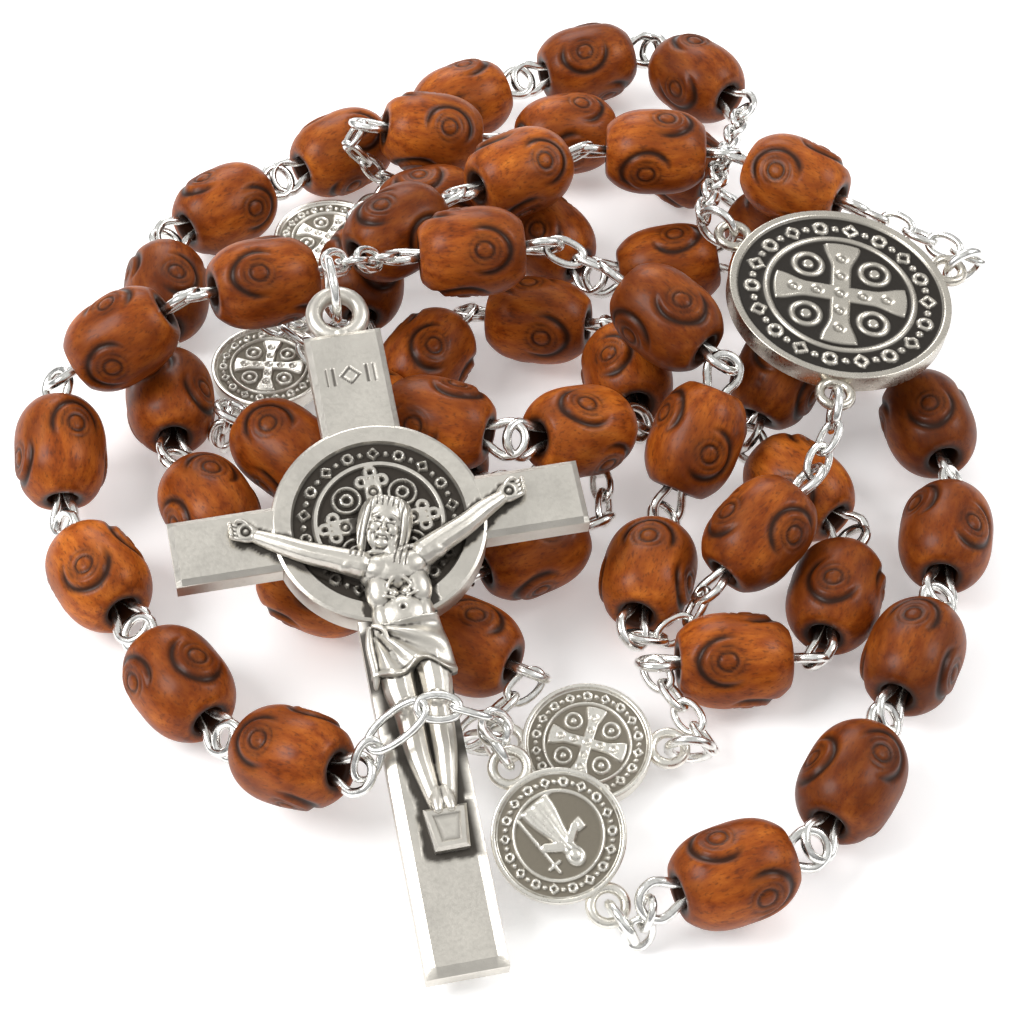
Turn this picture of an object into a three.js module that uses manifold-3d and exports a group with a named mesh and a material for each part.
// A five-decade rosary lying in a loose pile: carved wooden barrel beads on wire eye pins, small chain links,
// four round medals in the loop, a round three-way centrepiece, and a crucifix at the end of the pendant.
// Millimetres. X runs to the right, Y runs away from the front edge of the pile and Z is up. The origin is on
// the surface that the pile lies on, under the middle of the pile.

import * as THREE from 'three';
import { mergeVertices } from 'three/addons/utils/BufferGeometryUtils.js';
import Module from 'manifold-3d';

const wasm = await Module();
wasm.setup();

// ---------- driving dimensions ----------
const CLEARANCE = 0.45; // the least room that is left between two parts that lie side by side

const BEAD_LENGTH = 9.5;
const BEAD_RADIUS = 4.1;
const BEAD_END_RADIUS = 2.5;
const BEAD_BARREL = 3.4; // length of the widest stretch in the middle
const BORE_RADIUS = 1.3;
const BEAD_SIDES = 9;

const WIRE_RADIUS = 0.42;
const WIRE_SIDES = 3;
const PIN_PITCH = 14.3; // from the eye joint before a bead to the one after it
const EYE_RADIUS = 1.4; // to the middle of its wire
const SLIGHT_BEND = 0.2; // sine of the angle under which two pins count as being in line
const LINK_RADIUS = 1.1;
const LINK_PITCH = 5.2; // about the distance that two chain links cover
const JUMP_RING_DIAMETER = 3.6; // between the middles of its wire
const CROSS_LINK_DIAMETER = 5.2;

const MEDAL_RADIUS = 5.4;
const MEDAL_THICKNESS = 1.5;
const CENTREPIECE_RADIUS = 10.2;
const CENTREPIECE_THICKNESS = 1.9;
const RIM_WIDTH = 0.9;
const RIM_RISE = 0.25;
const LUG_RADIUS = 1.4; // to the middle of the ring's own thickness
const LUG_TUBE = 0.45;

const CROSS_HEIGHT = 56.5; // without the hanging ring
const CROSS_SPAN = 34.5;
const CROSS_CENTRE_TO_FOOT = 38.5;
const SHAFT_WIDTH = 6.6;
const ARM_WIDTH = 5.8;
const CROSS_THICKNESS = 2.6;
const CROSS_BEVEL = 0.6;
const CROSS_DISC_RADIUS = 9;
const CROSS_RING_RADIUS = 2;
const CROSS_RING_TUBE = 0.75;
const FIGURE_HEIGHT = 1.3; // how far the figure stands out of the front face

// ---------- materials ----------
const wood = new THREE.MeshStandardMaterial({ color: 0x9c4f26, roughness: 0.45, metalness: 0 });
const silver = new THREE.MeshStandardMaterial({ color: 0xd9d6d0, roughness: 0.25, metalness: 1 });
const agedSilver = new THREE.MeshStandardMaterial({ color: 0xa9a59c, roughness: 0.4, metalness: 1 });

// ---------- where the strands lie ----------
// The joints between neighbouring eyes, in order along each run: a bead hangs between each two.
const RUNS = {
  decade_1: [
    [33.5, 26.5, 9], [21, 35.7, 9.5], [7.5, 36.5, 12], [-6, 26.5, 13.5], [-16.5, 16, 13], [-29, 7.5, 10],
    [-41.5, 9, 4.5], [-37, -2, 4.5], [-32.5, -17, 4.5], [-22, -31, 4.5], [-8.5, -35, 8.5],
  ],
  decade_2: [
    [11.5, -45, 4.5], [22.5, -42, 4.5], [26, -27, 4.5], [33.5, -12, 4.5], [41, 0, 4.5], [37, 13, 4.5],
    [26.5, 27, 4.5], [16.5, 38, 4.5], [12, 48.5, 4.5], [-0.5, 42.5, 6], [-13.5, 42, 9],
  ],
  decade_3_start: [
    [-15, 17.5, 9.3], [-13, 1, 9], [-0.5, -4, 10.5], [11, -0.5, 9], [5, 13, 5.5], [-5.5, 22.5, 4.5],
    [-6.5, 10, 4.5], [5, 2.5, 4.5],
  ],
  decade_3_finish: [[6.5, -5.5, 4.5], [-5, -12, 4.5], [-15.8, -3, 4.5], [-27, 5, 4.5]],
  decade_4: [
    [-14, 16.5, 4.5], [-9.5, 30, 4.5], [1.5, 38, 4.5], [10, 26.5, 4.5], [20, 23.5, 4.5],
    [29, 11, 8.5], [17.5, 4, 5.5], [29.8, -1, 4.5], [28.8, -15, 4.5], [15.4, -20.8, 4.5],
  ],
  decade_5: [
    [3, -24.5, 4.5], [-9, -16, 4.5], [-22, -9, 4.5], [-27, 3.5, 4.5], [-29.5, 17.5, 4.5], [-32, 30, 4.5],
    [-22, 39.5, 4.5], [-11, 48.5, 4.5], [1.5, 55.5, 4.5], [14.5, 61.5, 4.5], [23, 50, 5.5],
  ],
  pendant_low: [[26, -6, 10.5], [16, -15, 6]],
  pendant_middle: [[10.5, -16.5, 4.5], [12, -3.5, 5.5], [17.5, 5, 11], [8.5, 13, 12.5]],
  pendant_top: [[3, 17.5, 16.5], [-11, 16, 16.5]],
};

// Beads that lie under others: these are made in one piece with their run's wire.
const COVERED_BEADS = { decade_2: [6, 8], decade_3_start: [1], decade_3_finish: [2], decade_4: [2, 5] };

// Places of the flat castings: the middle, the direction that the first lug points in, and the face's normal.
const MEDALS = {
  medal_1: { at: [3.7, -39.3, 5], lugs: 122, normal: [0, -0.47, 0.88] },
  medal_2: { at: [-18, 33.5, 2.4], lugs: 50, normal: [0, 0, 1] },
  medal_3: { at: [-22.8, 15.6, 2.4], lugs: -112, normal: [0, 0, 1] },
  medal_4: { at: [6.2, -28.8, 2.9], lugs: -2, normal: [0, -0.22, 0.97] },
};
const CENTREPIECE = { at: [29.5, 13.5, 13.5], turn: -6, normal: [0.12, -0.07, 0.99] };
const CRUCIFIX = { ring: [-15, 4, 20.5], heading: 12, tilt: 18 };

// ---------- small helpers ----------
const point = (list) => new THREE.Vector3(...list);
const between = (a, b, share = 0.5) => a.clone().lerp(b, share);
const degrees = THREE.MathUtils.degToRad;

function barrelRadius(along) {
  const slope = (BEAD_RADIUS - BEAD_END_RADIUS) / (BEAD_LENGTH / 2 - BEAD_BARREL / 2);
  return BEAD_RADIUS - slope * Math.max(0, Math.abs(along) - BEAD_BARREL / 2);
}

// A turned frame: its Z is the given direction, and its X lies as near as it can to the given one.
function frameAlong(z, xHint, at) {
  const zAxis = z.clone().normalize();
  const xAxis = xHint.clone().addScaledVector(zAxis, -xHint.dot(zAxis)).normalize();
  const yAxis = new THREE.Vector3().crossVectors(zAxis, xAxis);
  return new THREE.Matrix4().makeBasis(xAxis, yAxis, zAxis).setPosition(at);
}

function toSolid(geometry) {
  const bare = geometry.clone();
  bare.deleteAttribute('normal');
  bare.deleteAttribute('uv');
  const merged = mergeVertices(bare, 1e-4);
  return new wasm.Manifold(new wasm.Mesh({
    numProp: 3,
    vertProperties: new Float32Array(merged.attributes.position.array),
    triVerts: new Uint32Array(merged.index.array),
  }));
}

function toGeometry(solid) {
  const mesh = solid.getMesh();
  const geometry = new THREE.BufferGeometry();
  geometry.setAttribute('position', new THREE.BufferAttribute(new Float32Array(mesh.vertProperties), 3));
  geometry.setIndex(new THREE.BufferAttribute(new Uint32Array(mesh.triVerts), 1));
  geometry.computeVertexNormals();
  return geometry;
}

function join(geometries) {
  let solid = toSolid(geometries[0]);
  for (const geometry of geometries.slice(1)) {
    solid = solid.add(toSolid(geometry));
  }
  return toGeometry(solid);
}

// ---------- settling ----------
// Each run keeps the length of its pins, no two beads share space, the beads lie clear of the flat castings,
// and nothing sinks below the surface. A casting is a frame with the discs and bars that it is made of.
const SETTLE_STEPS = 400;
const HOLD = 0.05; // how strongly a joint is drawn to its chosen place at first
const FEELERS = [-4.5, -2.3, 0, 2.3, 4.5]; // places along a bead where its roundness is felt
const WIRE_FEELER = 1.5; // the same for a joint between two eyes

function nearestOn({ radius, half }, place) {
  const z = THREE.MathUtils.clamp(place.z, -half.z, half.z);
  if (!radius) {
    const x = THREE.MathUtils.clamp(place.x, -half.x, half.x);
    const y = THREE.MathUtils.clamp(place.y, -half.y, half.y);
    return new THREE.Vector3(x, y, z);
  }
  const flat = new THREE.Vector2(place.x, place.y).clampLength(0, radius);
  return new THREE.Vector3(flat.x, flat.y, z);
}

// How far a ball has to move to be clear of one casting.
function clearOf({ frame, inverse, shapes }, at, radius) {
  const push = new THREE.Vector3();
  for (const shape of shapes) {
    const local = at.clone().applyMatrix4(inverse).sub(shape.middle);
    const away = local.clone().sub(nearestOn(shape, local));
    const distance = away.length() || 1e-3;
    const missing = radius + CLEARANCE - distance;
    if (away.lengthSq() === 0) {
      away.set(0, 0, -1e-3);
    }
    if (missing > push.length()) {
      push.copy(away.setLength(missing));
    }
  }
  const turn = new THREE.Matrix3().setFromMatrix4(frame);
  return push.applyMatrix3(turn);
}

function settle(runs, castings) {
  const chosen = Object.values(runs).map((joints) => joints.map(point));
  const joints = chosen.map((run) => run.map((joint) => joint.clone()));
  const beads = joints.flatMap((run) => run.slice(1).map((end, i) => ({ ends: [run[i], end] })));
  const feelerPlaces = (bead) => {
    const middle = between(...bead.ends);
    const axis = bead.ends[1].clone().sub(bead.ends[0]).normalize();
    return FEELERS.map((along) => (
      { at: middle.clone().addScaledVector(axis, along), radius: barrelRadius(along) }
    ));
  };
  const move = (bead, push) => bead.ends.forEach((end) => end.add(push));
  for (let step = 0; step < SETTLE_STEPS; step += 1) {
    const hold = HOLD * (1 - step / SETTLE_STEPS);
    joints.forEach((run, r) => run.forEach((joint, i) => joint.lerp(chosen[r][i], hold)));
    beads.forEach((a, i) => {
      beads.slice(i + 1).forEach((b) => {
        if (between(...a.ends).distanceTo(between(...b.ends)) > BEAD_LENGTH + 2) {
          return;
        }
        const others = feelerPlaces(b);
        feelerPlaces(a).forEach((mine) => others.forEach((theirs) => {
          const gap = mine.at.distanceTo(theirs.at) - mine.radius - theirs.radius - CLEARANCE;
          if (gap >= 0) {
            return;
          }
          const push = theirs.at.clone().sub(mine.at).setLength(-gap / 4);
          move(b, push);
          move(a, push.negate());
        }));
      });
      joints.flat().forEach((joint) => {
        if (a.ends.includes(joint) || joint.distanceTo(between(...a.ends)) > BEAD_LENGTH) {
          return;
        }
        feelerPlaces(a).forEach((mine) => {
          const gap = mine.at.distanceTo(joint) - mine.radius - WIRE_FEELER - CLEARANCE;
          if (gap < 0) {
            joint.add(joint.clone().sub(mine.at).setLength(-gap / 2));
          }
        });
      });
      castings.forEach((casting) => feelerPlaces(a).forEach(({ at, radius }) => {
        move(a, clearOf(casting, at, radius).multiplyScalar(0.4));
      }));
    });
    castings.forEach((casting) => joints.flat().forEach((joint) => {
      joint.add(clearOf(casting, joint, WIRE_FEELER).multiplyScalar(0.4));
    }));
    beads.forEach(({ ends: [a, b] }) => {
      const stretch = b.clone().sub(a);
      const change = stretch.clone().setLength((stretch.length() - PIN_PITCH) / 2);
      a.add(change);
      b.sub(change);
      a.z = Math.max(a.z, BEAD_RADIUS);
      b.z = Math.max(b.z, BEAD_RADIUS);
    });
  }
  return Object.fromEntries(Object.keys(runs).map((name, r) => [name, joints[r]]));
}

// ---------- wire pieces ----------
// A ring of wire round a place, in the plane of the given direction and across the given normal.
function ring(at, direction, radius, normal, steps = 6) {
  return new THREE.TorusGeometry(radius, WIRE_RADIUS, WIRE_SIDES, steps)
    .applyMatrix4(frameAlong(normal, direction, at));
}

function rod(from, to, wire = WIRE_RADIUS) {
  const along = to.clone().sub(from);
  return new THREE.CylinderGeometry(wire, wire, along.length(), WIRE_SIDES)
    .rotateX(Math.PI / 2)
    .applyMatrix4(frameAlong(along, sideways(along), between(from, to)));
}

function sideways(along) {
  const up = new THREE.Vector3(0, 0, 1);
  const side = new THREE.Vector3().crossVectors(up, along);
  return side.lengthSq() > 1e-6 ? side : new THREE.Vector3(1, 0, 0);
}

// The wire of one strand: a ring at every stop, standing for the two eyes or links that hang in each other
// there, in the plane of the bend, and a straight piece from ring to ring. The first and last stops are bare.
function strandWire(stops) {
  const axes = stops.slice(1).map(({ at }, i) => at.clone().sub(stops[i].at).normalize());
  const lap = WIRE_RADIUS / 4;
  const pieces = axes.map((axis, i) => rod(
    stops[i].at.clone().addScaledVector(axis, stops[i].radius - lap),
    stops[i + 1].at.clone().addScaledVector(axis, lap - stops[i + 1].radius),
  ));
  stops.slice(1, -1).forEach(({ at, radius }, i) => {
    const bend = new THREE.Vector3().crossVectors(axes[i], axes[i + 1]);
    const normal = bend.length() > SLIGHT_BEND ? bend : sideways(axes[i]);
    pieces.push(ring(at, axes[i], radius, normal));
  });
  return pieces;
}

// The stops of a stretch of small chain, without its two ends.
function links(...route) {
  const places = route.map((place) => (Array.isArray(place) ? point(place) : place));
  const curve = new THREE.CurvePath();
  places.slice(1).forEach((place, i) => curve.add(new THREE.LineCurve3(places[i], place)));
  const count = Math.max(1, Math.round(curve.getLength() / LINK_PITCH));
  const shares = Array.from({ length: count - 1 }, (_, i) => (i + 1) / count);
  return shares.map((share) => ({ at: curve.getPointAt(share), radius: LINK_RADIUS }));
}

// ---------- beads ----------
// A solid turned round Z, from the radius and height of each corner of its outline.
function turned(outline, sides) {
  const corners = outline.map(([r, z]) => new THREE.Vector2(r, z));
  return new THREE.LatheGeometry(corners, sides).rotateX(Math.PI / 2);
}

function beadGeometry(bore) {
  const half = BEAD_LENGTH / 2;
  const barrel = BEAD_BARREL / 2;
  const outline = [
    [bore, -half], [BEAD_END_RADIUS, -half], [BEAD_RADIUS, -barrel],
    [BEAD_RADIUS, barrel], [BEAD_END_RADIUS, half], [bore, half],
  ];
  if (bore > 0) {
    outline.push(outline[0]);
  }
  return turned(outline, BEAD_SIDES);
}

function beadFrame(from, to) {
  return frameAlong(to.clone().sub(from), sideways(to.clone().sub(from)), between(from, to));
}

// ---------- flat castings ----------
const lugDistance = (radius) => radius + LUG_RADIUS - 0.1;

function lug(distance, angle) {
  return new THREE.TorusGeometry(LUG_RADIUS, LUG_TUBE, 4, 7)
    .translate(distance * Math.cos(angle), distance * Math.sin(angle), 0);
}

// A round medal with a raised rim on both faces, and a lug for each angle.
function medalGeometry(radius, thickness, lugAngles, sides) {
  const half = thickness / 2;
  const floor = half - RIM_RISE;
  const edge = radius - RIM_WIDTH;
  const outline = [
    [0, -floor], [edge, -floor], [edge, -half], [radius, -half],
    [radius, half], [edge, half], [edge, floor], [0, floor],
  ];
  return join([turned(outline, sides), ...lugAngles.map((angle) => lug(lugDistance(radius), angle))]);
}

// The frame of a medal, and a jump ring through one of its lugs, standing across the medal's plane.
function castingFrame({ at, normal }, angle) {
  const direction = new THREE.Vector3(Math.cos(angle), Math.sin(angle), 0);
  return frameAlong(point(normal), direction, point(at));
}

function jumpRing(frame, radius, angle) {
  const outward = new THREE.Vector3(Math.cos(angle), Math.sin(angle), 0).transformDirection(frame);
  const side = new THREE.Vector3(-Math.sin(angle), Math.cos(angle), 0).transformDirection(frame);
  const hole = new THREE.Vector3(Math.cos(angle), Math.sin(angle), 0).multiplyScalar(lugDistance(radius));
  hole.applyMatrix4(frame);
  const far = hole.clone().addScaledVector(outward, JUMP_RING_DIAMETER);
  return { ring: ring(between(hole, far), outward, JUMP_RING_DIAMETER / 2, side, 8), far };
}

// ---------- crucifix ----------
// Upright in its own XY plane, with the middle of the hanging ring at the origin and its front towards +Z.
const RING_TO_TOP = CROSS_RING_RADIUS + 0.2;
const RING_TO_CENTRE = RING_TO_TOP + CROSS_HEIGHT - CROSS_CENTRE_TO_FOOT;

function bevelledBar(width, length) {
  const w = width / 2 - CROSS_BEVEL;
  const l = length / 2 - CROSS_BEVEL;
  const corners = [[-w, -l], [w, -l], [w, l], [-w, l]];
  const outline = new THREE.Shape(corners.map(([x, y]) => new THREE.Vector2(x, y)));
  const options = {
    depth: CROSS_THICKNESS - 2 * CROSS_BEVEL,
    bevelSize: CROSS_BEVEL,
    bevelThickness: CROSS_BEVEL,
    bevelSegments: 1,
  };
  return new THREE.ExtrudeGeometry(outline, options).translate(0, 0, CROSS_BEVEL - CROSS_THICKNESS / 2);
}

function limb(from, to, startRadius, endRadius) {
  const a = point(from);
  const b = point(to);
  const along = b.clone().sub(a);
  return new THREE.CylinderGeometry(endRadius, startRadius, along.length(), 6)
    .rotateX(Math.PI / 2)
    .applyMatrix4(frameAlong(along, new THREE.Vector3(0, 0, 1), between(a, b)));
}

function crucifixGeometry() {
  const front = CROSS_THICKNESS / 2;
  const shaft = bevelledBar(SHAFT_WIDTH, CROSS_HEIGHT).translate(0, -RING_TO_TOP - CROSS_HEIGHT / 2, 0);
  const arms = bevelledBar(CROSS_SPAN, ARM_WIDTH).translate(0, -RING_TO_CENTRE, 0);
  const disc = new THREE.CylinderGeometry(CROSS_DISC_RADIUS, CROSS_DISC_RADIUS, CROSS_THICKNESS - 0.1, 24)
    .rotateX(Math.PI / 2)
    .translate(0, -RING_TO_CENTRE, 0);
  const hanger = new THREE.TorusGeometry(CROSS_RING_RADIUS, CROSS_RING_TUBE, 6, 12);
  const centre = -RING_TO_CENTRE;
  const figure = [
    new THREE.SphereGeometry(2, 8, 6).scale(1, 1.25, 0.9).translate(0, centre, front + 0.4),
    limb([0, centre - 2, front], [0, centre - 9.5, front], 2.6, 1.9),
    limb([0, centre - 9, front], [0, centre - 14.2, front], 2.4, 2.6),
    limb([-1, centre - 13.5, front], [-0.7, centre - 24, front], 1.4, 0.8),
    limb([1, centre - 13.5, front], [0.7, centre - 24, front], 1.4, 0.8),
    limb([1.5, centre - 2.8, front], [11.3, centre + 0.6, front], 1.2, 0.7),
    limb([-1.5, centre - 2.8, front], [-11.3, centre + 0.6, front], 1.2, 0.7),
    new THREE.BoxGeometry(3.2, 3.6, FIGURE_HEIGHT + 0.6)
      .translate(0, centre - 25.6, front + FIGURE_HEIGHT / 2 - 0.3),
  ];
  return join([shaft, arms, disc, hanger, ...figure]);
}

// ---------- assembly ----------
const rosary = new THREE.Group();

function place(name, geometry, material, matrix) {
  const mesh = new THREE.Mesh(geometry, material);
  mesh.name = name;
  if (matrix) {
    mesh.applyMatrix4(matrix);
  }
  rosary.add(mesh);
}

const crossTurn = new THREE.Matrix4().makeRotationZ(degrees(CRUCIFIX.heading))
  .multiply(new THREE.Matrix4().makeRotationX(degrees(CRUCIFIX.tilt)));
const crossFrame = crossTurn.clone().setPosition(point(CRUCIFIX.ring));
place('crucifix', crucifixGeometry(), agedSilver, crossFrame);

const centreFrame = castingFrame(CENTREPIECE, degrees(CENTREPIECE.turn));
const CENTREPIECE_LUGS = { loopEnd: degrees(150), loopStart: degrees(30), pendant: degrees(-90) };
const centreAngles = Object.values(CENTREPIECE_LUGS);
const centreGeometry = medalGeometry(CENTREPIECE_RADIUS, CENTREPIECE_THICKNESS, centreAngles, 24);
place('centrepiece', centreGeometry, agedSilver, centreFrame);

const round = (radius, thickness, middle = new THREE.Vector3()) => (
  { radius, half: new THREE.Vector3(0, 0, thickness / 2), middle }
);
const bar = (width, height, middle) => (
  { half: new THREE.Vector3(width / 2, height / 2, CROSS_THICKNESS / 2), middle }
);
const ringRoom = (radius, side) => ({
  half: new THREE.Vector3(JUMP_RING_DIAMETER, 2 * WIRE_RADIUS, JUMP_RING_DIAMETER).multiplyScalar(0.5),
  middle: new THREE.Vector3(side * (lugDistance(radius) + JUMP_RING_DIAMETER / 2), 0, 0),
});
const casting = (frame, shapes) => ({ frame, inverse: frame.clone().invert(), shapes });

const medalFrames = {};
for (const [name, medal] of Object.entries(MEDALS)) {
  medalFrames[name] = castingFrame(medal, degrees(medal.lugs));
  place(name, medalGeometry(MEDAL_RADIUS, MEDAL_THICKNESS, [0, Math.PI], 16), agedSilver, medalFrames[name]);
}

const crossMiddle = new THREE.Vector3(0, -RING_TO_CENTRE, 0);
const shaftMiddle = new THREE.Vector3(0, -RING_TO_TOP - CROSS_HEIGHT / 2, 0);
const joints = settle(RUNS, [
  casting(centreFrame, [round(CENTREPIECE_RADIUS, CENTREPIECE_THICKNESS)]),
  ...Object.values(medalFrames).map((frame) => casting(frame, [
    round(MEDAL_RADIUS, MEDAL_THICKNESS), ringRoom(MEDAL_RADIUS, 1), ringRoom(MEDAL_RADIUS, -1),
  ])),
  casting(crossFrame, [
    round(CROSS_DISC_RADIUS, CROSS_THICKNESS, crossMiddle),
    bar(CROSS_SPAN, ARM_WIDTH, crossMiddle),
    bar(SHAFT_WIDTH, CROSS_HEIGHT, shaftMiddle),
  ]),
]);

// The loose wire at each end of a strand starts with a jump ring through a lug.
const atMedal = (name, angle) => jumpRing(medalFrames[name], MEDAL_RADIUS, angle);
const atCentre = (angle) => jumpRing(centreFrame, CENTREPIECE_RADIUS, angle);

// The link that hangs the crucifix stands across its ring.
function crossLink() {
  const up = new THREE.Vector3(0, 1, 0).transformDirection(crossFrame);
  const side = new THREE.Vector3(1, 0, 0).transformDirection(crossFrame);
  const hole = point(CRUCIFIX.ring);
  const far = hole.clone().addScaledVector(up, CROSS_LINK_DIAMETER);
  return { ring: ring(between(hole, far), up, CROSS_LINK_DIAMETER / 2, side, 8), far };
}

const eyes = (run) => joints[run].map((at) => ({ at, radius: EYE_RADIUS }));
const bare = ({ far }) => ({ at: far, radius: 0 });

// A strand from one lug to the next: a jump ring, links, its runs of beads with links between them, and a jump
// ring. A route gives the places that the links pass on their way to the run with the same number, or to the
// finish.
function strand(start, runs, finish, routes = {}) {
  const stops = [bare(start)];
  runs.forEach((run, i) => {
    stops.push(...links(stops.at(-1).at, ...(routes[i] ?? []), joints[run][0]), ...eyes(run));
  });
  stops.push(...links(stops.at(-1).at, ...(routes[runs.length] ?? []), finish.far), bare(finish));
  return [start.ring, ...strandWire(stops), finish.ring];
}

const strands = {
  decade_1: strand(atCentre(CENTREPIECE_LUGS.loopStart), ['decade_1'], atMedal('medal_1', 0), {
    1: [[-9.5, -33, 12.6], [-3.5, -33, 13.2], [-0.5, -33.5, 11]],
  }),
  decade_2: strand(atMedal('medal_1', Math.PI), ['decade_2'], atMedal('medal_2', 0), { 1: [[-16, 40, 9]] }),
  decade_3: strand(
    atMedal('medal_2', Math.PI), ['decade_3_start', 'decade_3_finish'], atMedal('medal_3', 0),
    { 0: [[-24.8, 19.5, 7.4]], 1: [[-1, -0.5, 4.5], [7.5, 0.5, 4.5]] },
  ),
  decade_4: strand(
    atMedal('medal_3', Math.PI), ['decade_4'], atMedal('medal_4', 0), { 0: [[-20.8, 19.8, 5.6]] },
  ),
  decade_5: strand(atMedal('medal_4', Math.PI), ['decade_5'], atCentre(CENTREPIECE_LUGS.loopEnd)),
  pendant: strand(
    atCentre(CENTREPIECE_LUGS.pendant), ['pendant_low', 'pendant_middle', 'pendant_top'], crossLink(),
    { 1: [[14, -17.5, 3.5]] },
  ),
};

const counts = {};
for (const [run, places] of Object.entries(joints)) {
  const [name] = Object.keys(strands).filter((candidate) => run.startsWith(candidate));
  places.slice(1).forEach((to, i) => {
    const from = places[i];
    counts[name] = (counts[name] ?? 0) + 1;
    if (COVERED_BEADS[run]?.includes(i + 1)) {
      strands[name].push(beadGeometry(0).applyMatrix4(beadFrame(from, to)));
    } else {
      const number = String(counts[name]).padStart(2, '0');
      place(`${name}_bead_${number}`, beadGeometry(BORE_RADIUS), wood, beadFrame(from, to));
    }
  });
}
for (const [name, pieces] of Object.entries(strands)) {
  place(`${name}_chain`, join(pieces), silver);
}

// The surface and the middle of the pile become the origin.
const box = new THREE.Box3().setFromObject(rosary, true);
const middle = box.getCenter(new THREE.Vector3());
rosary.position.set(-middle.x, -middle.y, -box.min.z);
rosary.updateMatrixWorld(true);

export default rosary;
